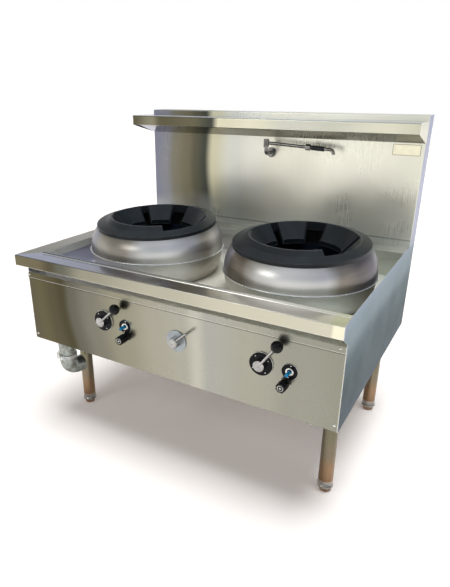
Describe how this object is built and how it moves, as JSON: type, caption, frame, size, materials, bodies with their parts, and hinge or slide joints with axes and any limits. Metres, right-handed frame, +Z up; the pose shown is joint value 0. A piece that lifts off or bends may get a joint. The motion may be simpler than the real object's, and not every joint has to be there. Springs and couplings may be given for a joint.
{
  "type": "wok range",
  "caption": "Wok range: stainless bench on legs, cooking chambers with lift-off cast rings, lever gas valves, splashback with shelf and swing spout.",
  "frame": {"origin": "on the floor, under the middle of the range's outer box", "axes": "+X to the user's right, +Y to the rear, away from the user, +Z up"},
  "size_m": [1.2, 0.907, 1.1845],
  "materials": {
    "brushed_stainless": "brushed, satin",
    "satin_stainless": "spun, satin",
    "polished_steel": "polished",
    "cast_iron_black": "matt black, worn edges",
    "burner_iron": "rough cast",
    "refractory": "sooty, rough",
    "galvanised_steel": "zinc coated",
    "black_plastic": "gloss black",
    "blue_plastic": "gloss blue",
    "brass": "machined",
    "frame_steel": "mill finish"
  },
  "bodies": {
    "root": {"bench_top": "brushed_stainless", "blank_plate": "satin_stainless", "body_frame": "frame_steel", "burner_left": "burner_iron", "burner_pipes": "galvanised_steel", "burner_right": "burner_iron", "chamber_bowl_left": "satin_stainless", "chamber_bowl_right": "satin_stainless", "chamber_dome_left": "satin_stainless", "chamber_dome_right": "satin_stainless", "chamber_liners": "refractory", "chamber_rails": "frame_steel", "deck_pan": "brushed_stainless", "drain_coupling": "polished_steel", "drain_elbow": "galvanised_steel", "drain_pipe": "galvanised_steel", "drain_strainer": "polished_steel", "front_control_panel": "brushed_stainless", "front_top_strip": "brushed_stainless", "gas_manifold": "galvanised_steel", "gas_valves": "brass", "igniter_bodies": "black_plastic", "igniter_plates": "black_plastic", "left_side_panel": "brushed_stainless", "leg_collars": "polished_steel", "leg_tubes": "brushed_stainless", "lever_plates": "black_plastic", "panel_screws": "polished_steel", "pilot_burners": "brass", "pilot_valves": "brass", "rear_panel": "brushed_stainless", "right_side_panel": "brushed_stainless", "shelf_top": "brushed_stainless", "shelf_underside": "brushed_stainless", "splashback_panel": "brushed_stainless", "splashback_rear_cover": "brushed_stainless", "spout_flange": "polished_steel", "spout_riser": "polished_steel", "water_pipe": "brass", "water_valve": "brass", "water_valve_plate": "satin_stainless"},
    "wok_ring_left": {"wok_ring_left": "cast_iron_black"},
    "wok_ring_right": {"wok_ring_right": "cast_iron_black"},
    "gas_lever_left": {"gas_lever_left": "polished_steel", "lever_ball_left": "black_plastic"},
    "gas_lever_right": {"gas_lever_right": "polished_steel", "lever_ball_right": "black_plastic"},
    "igniter_button_left": {"igniter_button_left": "blue_plastic"},
    "igniter_button_right": {"igniter_button_right": "blue_plastic"},
    "pilot_knob_left": {"pilot_knob_left": "black_plastic"},
    "pilot_knob_right": {"pilot_knob_right": "black_plastic"},
    "water_lever": {"water_lever": "polished_steel"},
    "spout_arm": {"spout_arm": "polished_steel", "spout_nut": "polished_steel", "spout_grip": "black_plastic", "spout_outlet": "polished_steel"},
    "foot_front_left": {"foot_front_left": "frame_steel"},
    "foot_front_right": {"foot_front_right": "frame_steel"},
    "foot_rear_left": {"foot_rear_left": "frame_steel"},
    "foot_rear_right": {"foot_rear_right": "frame_steel"}
  },
  "joints": [
    {"name": "wok_ring_left_lift", "type": "slide", "parent": "root", "child": "wok_ring_left", "axis": [0, 0, 1], "range_m": [0, 0.06]},
    {"name": "gas_lever_left_turn", "type": "hinge", "parent": "root", "child": "gas_lever_left", "pos_m": [-0.235, -0.409, 0.5277], "axis": [0, -1, 0], "range_deg": [-7, 83]},
    {"name": "igniter_button_left_push", "type": "slide", "parent": "root", "child": "igniter_button_left", "axis": [0, 1, 0], "range_m": [0, 0.006], "stiffness_N_per_m": 300, "springref_m": -0.002},
    {"name": "pilot_knob_left_turn", "type": "hinge", "parent": "root", "child": "pilot_knob_left", "pos_m": [-0.1435, -0.409, 0.4862], "axis": [0, -1, 0], "range_deg": [-90, 0]},
    {"name": "wok_ring_right_lift", "type": "slide", "parent": "root", "child": "wok_ring_right", "axis": [0, 0, 1], "range_m": [0, 0.06]},
    {"name": "gas_lever_right_turn", "type": "hinge", "parent": "root", "child": "gas_lever_right", "pos_m": [0.3595, -0.409, 0.5277], "axis": [0, -1, 0], "range_deg": [-20, 70]},
    {"name": "igniter_button_right_push", "type": "slide", "parent": "root", "child": "igniter_button_right", "axis": [0, 1, 0], "range_m": [0, 0.006], "stiffness_N_per_m": 300, "springref_m": -0.002},
    {"name": "pilot_knob_right_turn", "type": "hinge", "parent": "root", "child": "pilot_knob_right", "pos_m": [0.436, -0.409, 0.4862], "axis": [0, -1, 0], "range_deg": [-90, 0]},
    {"name": "water_lever_turn", "type": "hinge", "parent": "root", "child": "water_lever", "pos_m": [0.0641, -0.409, 0.5248], "axis": [0, -1, 0], "range_deg": [-42, 48]},
    {"name": "spout_swing", "type": "hinge", "parent": "root", "child": "spout_arm", "pos_m": [0.0205, 0.313, 1.07], "axis": [0, 0, -1], "range_deg": [0, 180]},
    {"name": "foot_front_left_level", "type": "slide", "parent": "root", "child": "foot_front_left", "axis": [0, 0, -1], "range_m": [0, 0.02]},
    {"name": "foot_front_right_level", "type": "slide", "parent": "root", "child": "foot_front_right", "axis": [0, 0, -1], "range_m": [0, 0.02]},
    {"name": "foot_rear_left_level", "type": "slide", "parent": "root", "child": "foot_rear_left", "axis": [0, 0, -1], "range_m": [0, 0.02]},
    {"name": "foot_rear_right_level", "type": "slide", "parent": "root", "child": "foot_rear_right", "axis": [0, 0, -1], "range_m": [0, 0.02]}
  ]
}
